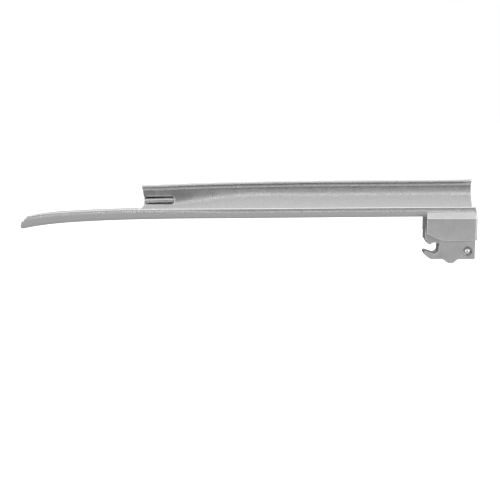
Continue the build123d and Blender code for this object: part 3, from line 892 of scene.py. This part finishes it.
def swept(name, path, profile, mat, n=48, closed=True, angle=40):
    """Sweeps circles along path; profile is (outer radius, inner radius) of a tube with rounded lips at both ends."""
    P = [p.copy() for p in path]
    T = []
    for i in range(len(P)):
        T.append((P[min(i + 1, len(P) - 1)] - P[max(i - 1, 0)]).normalized())
    X = T[0].orthogonal().normalized()
    verts, faces, rings = [], [], []
    frames = []
    for i in range(len(P)):
        if i:
            X = (X - T[i] * X.dot(T[i])).normalized()
        frames.append((P[i], T[i], X.copy(), T[i].cross(X)))

    def ring(fr, r, shift=0.0):
        c, t, x, y = fr
        base = len(verts)
        for k in range(n):
            a = 2 * math.pi * k / n
            verts.append(tuple(c + t * shift + x * (r * math.cos(a)) + y * (r * math.sin(a))))
        rings.append(list(range(base, base + n)))
    ro, ri = profile
    # start lip, outer wall, end lip, inner wall
    lip = (ro - ri) / 2; mid = (ro + ri) / 2
    angs = np.linspace(0, math.pi, 9)
    for a in angs:                               # inner to outer over the start mouth
        ring(frames[0], mid - lip * math.cos(a), lip * 0.6 - lip * 0.6 * math.sin(a))
    for fr in frames[1:-1]:
        ring(fr, ro)
    for a in angs:
        ring(frames[-1], mid + lip * math.cos(a), -lip * 0.6 + lip * 0.6 * math.sin(a))
    for fr in frames[1:-1][::-1]:
        ring(fr, ri)
    rings.append(rings[0])
    for ra, rb in zip(rings, rings[1:]):
        for k in range(n):
            j = (k + 1) % n
            faces.append([ra[k], ra[j], rb[j], rb[k]])
    ob = new_object(name, verts, faces, mat)
    bm = bmesh.new(); bm.from_mesh(ob.data)
    bmesh.ops.recalc_face_normals(bm, faces=bm.faces)
    bm.to_mesh(ob.data); bm.free()
    smooth_by_angle(ob, angle)
    return ob


path = route_points()
tube = swept('guide_tube', path, (1.35, 1.05), mat_tube)
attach(tube, 'blade_body'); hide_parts('light_guide_tube')



def gutter():
    """Dished cover brazed over the window's back, concentric with the tube."""
    stations = [p for p in path if p.x < -113.0]
    verts, faces = [], []
    arcs = 18
    wi, wo = 1.86, 2.26

    def section(c, r, shrink):
        pts = [(6.55, r * shrink)]
        for k in range(arcs + 1):
            a = math.pi / 2 - math.pi * k / arcs
            pts.append((c.y + r * shrink * math.cos(a), r * shrink * math.sin(a)))
        pts.append((6.55, -r * shrink))
        return [(c.x, y, c.z + z) for y, z in pts]
    rows = []
    end = max(p.x for p in stations)
    for c in stations:
        t = max(0.0, (c.x - (end - 3.2)) / 3.2)
        sh = math.sqrt(max(1 - t * t, 0.0)) if t > 0 else 1.0
        sh = max(sh, 0.74)
        row = section(c, wi, sh) + section(c, wo, sh)[::-1]
        rows.append(row)
    m = len(rows[0])
    for row in rows:
        verts.extend(row)
    for i in range(len(rows) - 1):
        for k in range(m):
            k2 = (k + 1) % m
            faces.append([i * m + k, i * m + k2, (i + 1) * m + k2, (i + 1) * m + k])
    faces.append(list(range(m)))
    # the closed end behind the slot's rounding
    last = (len(rows) - 1) * m
    faces.append([last + k for k in range(m)])
    half = m // 2
    faces.append([last + k for k in range(half)])
    ob = new_object('window_cover', verts, faces, mat_block)
    bm = bmesh.new(); bm.from_mesh(ob.data)
    bmesh.ops.triangulate(bm, faces=[f for f in bm.faces if len(f.verts) > 4])
    bmesh.ops.recalc_face_normals(bm, faces=bm.faces)
    bm.to_mesh(ob.data); bm.free()
    smooth_by_angle(ob, 35)
    return ob


cover = gutter()
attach(cover, 'blade_body'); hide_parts('guide_saddle')


def seam(name, points, radius, mat, n=14):
    """A brazed bead: a slightly uneven round fillet along a line."""
    P = [Vector(p) for p in points]
    verts, faces = [], []
    X = None
    for i, c in enumerate(P):
        t = (P[min(i + 1, len(P) - 1)] - P[max(i - 1, 0)]).normalized()
        X = t.orthogonal().normalized() if X is None else (X - t * X.dot(t)).normalized()
        Y = t.cross(X)
        r = radius * (1 + 0.06 * math.sin(i * 1.7) + 0.05 * math.sin(i * 0.53 + 1.0))
        e = min(i, len(P) - 1 - i)
        if e < 3:
            r *= (0.15, 0.7, 0.93)[e]
        for k in range(n):
            a = 2 * math.pi * k / n
            verts.append(tuple(c + X * (r * math.cos(a)) + Y * (r * math.sin(a))))
    for i in range(len(P) - 1):
        for k in range(n):
            j = (k + 1) % n
            faces.append([i * n + k, i * n + j, (i + 1) * n + j, (i + 1) * n + k])
    faces.append(list(range(n))); faces.append([(len(P) - 1) * n + k for k in range(n)])
    ob = new_object(name, verts, faces, mat)
    bm = bmesh.new(); bm.from_mesh(ob.data)
    bmesh.ops.recalc_face_normals(bm, faces=bm.faces)
    bm.to_mesh(ob.data); bm.free()
    smooth_by_angle(ob, 50)
    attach(ob, 'blade_body')
    return ob


# braze between the block's bevel and the sheet's right side, in the edge material whose brighter colour is a painted
# highlight
run = []
for x in np.arange(-3.95, 17.3, 0.35):
    q = point(x, 0.0) + 0
    s_hit = float(np.interp(17.3, [float(grid_at(GZ, x, a)) for a in np.linspace(0.12, 0.0, 25)], np.linspace(0.12, 0.0, 25)))
    b_ = point(x, s_hit) + normal(x, s_hit) * (SHEET / 2)
    run.append((float(x), float(b_[1]) + 0.10, 17.22))
seam('braze_right', run, 0.24, mat_edge_polish_highlight)
# the shoulder under the bevel is burnished to a slightly proud round; its brighter edge colour is a painted highlight
seam('shoulder_edge', [(float(x), -6.86, 14.1) for x in np.arange(-3.9, 17.9, 0.35)], 0.24, mat_edge_polish_highlight)
# braze lines between the guide tube and the web's left side
for tag, dz in (('upper', 1.0), ('lower', -1.0)):
    line_ = []
    for c in path:
        if -112.5 < c.x < -6:
            ss = s_left(c.x, c.z + dz * 1.15)
            w_ = point(c.x, ss) + normal(c.x, ss) * (SHEET / 2)
            line_.append((c.x, float(w_[1]) + 0.05, c.z + dz * 1.15))
    seam('braze_guide_' + tag, line_, 0.30, mat_block, 10)

for node, mat in (('fibre_bundle', mat_fibre), ('outlet_window', mat_glass), ('inlet_window', mat_glass),
                  ('inlet_seal', mat_rubber)):
    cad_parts[node].data.materials[0] = mat

# =====================================================================
# Camera, floor and light
# =====================================================================
cam_d = bpy.data.cameras.new('cam'); cam = bpy.data.objects.new('cam', cam_d)
scene.collection.objects.link(cam)
PH = math.radians(10); DIST = 0.45; AIM = Vector((-0.0821, 0, -0.000971))
cam.location = AIM + Vector((0, -math.cos(PH), math.sin(PH))) * DIST
cam.rotation_euler = (math.radians(80), 0, 0)
cam_d.lens = 1002 / 500 * 36; cam_d.sensor_width = 36; cam_d.clip_start = 0.01
scene.camera = cam

bpy.ops.mesh.primitive_plane_add(size=8, location=(-0.08, 0.5, -0.16))
floor = bpy.context.object; floor.name = 'floor'
fm = bpy.data.materials.new('floor'); fm.use_nodes = True
fn, fl = links(fm)
fb = fn['Principled BSDF']; fb.inputs['Roughness'].default_value = 0.9
fb.inputs['Base Color'].default_value = (0.93, 0.93, 0.93, 1)
fb.inputs['Emission Color'].default_value = (1, 1, 1, 1); fb.inputs['Emission Strength'].default_value = 0.75
floor.data.materials.append(fm)
floor.visible_glossy = False

w = bpy.data.worlds.new('studio'); scene.world = w; w.use_nodes = True
wn, wl = w.node_tree.nodes, w.node_tree.links
bg = wn['Background']
tc = wn.new('ShaderNodeTexCoord')
sep = wn.new('ShaderNodeSeparateXYZ'); wl.new(tc.outputs['Generated'], sep.inputs['Vector'])
ramp = wn.new('ShaderNodeValToRGB')
mr = wn.new('ShaderNodeMapRange')
mr.inputs['From Min'].default_value = -1; mr.inputs['From Max'].default_value = 1
wl.new(sep.outputs['Z'], mr.inputs['Value']); wl.new(mr.outputs['Result'], ramp.inputs['Fac'])
els = ramp.color_ramp.elements
els[0].position = 0.0; els[0].color = (0.54, 0.54, 0.54, 1)
els[1].position = 1.0; els[1].color = (1.30, 1.30, 1.30, 1)
for pos, v in ((0.08, 0.56), (0.18, 0.50), (0.29, 0.42), (0.38, 0.36), (0.46, 0.22), (0.535, 0.17), (0.60, 0.38), (0.675, 0.48), (0.74, 0.62), (0.90, 0.80), (0.965, 0.86)):
    e = els.new(pos); e.color = (v, v, v, 1)
# the far side of the room, low down, is dimmer than overhead
ramp2 = wn.new('ShaderNodeValToRGB')
mr2 = wn.new('ShaderNodeMapRange')
mr2.inputs['From Min'].default_value = -1; mr2.inputs['From Max'].default_value = 1
wl.new(sep.outputs['Y'], mr2.inputs['Value']); wl.new(mr2.outputs['Result'], ramp2.inputs['Fac'])
e2 = ramp2.color_ramp.elements
e2[0].position = 0.0; e2[0].color = (1, 1, 1, 1)
e2[1].position = 1.0; e2[1].color = (0.40, 0.40, 0.40, 1)
for pos, v in ((0.55, 1.0), (0.75, 0.92), (0.88, 0.80), (0.95, 0.62)):
    e = e2.new(pos); e.color = (v, v, v, 1)
both = wn.new('ShaderNodeMix'); both.data_type = 'RGBA'; both.blend_type = 'MULTIPLY'
both.inputs['Factor'].default_value = 1.0
wl.new(ramp.outputs['Color'], both.inputs[6]); wl.new(ramp2.outputs['Color'], both.inputs[7])
lp = wn.new('ShaderNodeLightPath')
mix = wn.new('ShaderNodeMix'); mix.data_type = 'RGBA'
wl.new(lp.outputs['Is Camera Ray'], mix.inputs['Factor'])
wl.new(both.outputs[2], mix.inputs[6]); mix.inputs[7].default_value = (1, 1, 1, 1)
wl.new(mix.outputs[2], bg.inputs['Color'])
bg.inputs['Strength'].default_value = 1.0


def area(name, loc, size, power, target=(-0.08, 0, 0.01)):
    l = bpy.data.lights.new(name, 'AREA'); l.shape = 'RECTANGLE'; l.size, l.size_y = size; l.energy = power
    o = bpy.data.objects.new(name, l); scene.collection.objects.link(o); o.location = loc
    o.rotation_euler = (Vector(target) - Vector(loc)).to_track_quat('-Z', 'Y').to_euler()
    return o


area('box_right', (0.50, -0.40, 0.08), (0.30, 0.45), 0.85)
area('box_left', (-0.66, -0.40, 0.08), (0.30, 0.45), 0.85)
area('strip_below', (-0.08, -0.30, -0.14), (1.0, 0.02), 0.10)
area('strip_front', (-0.08, -0.57, 0.27), (1.1, 0.04), 0.20)
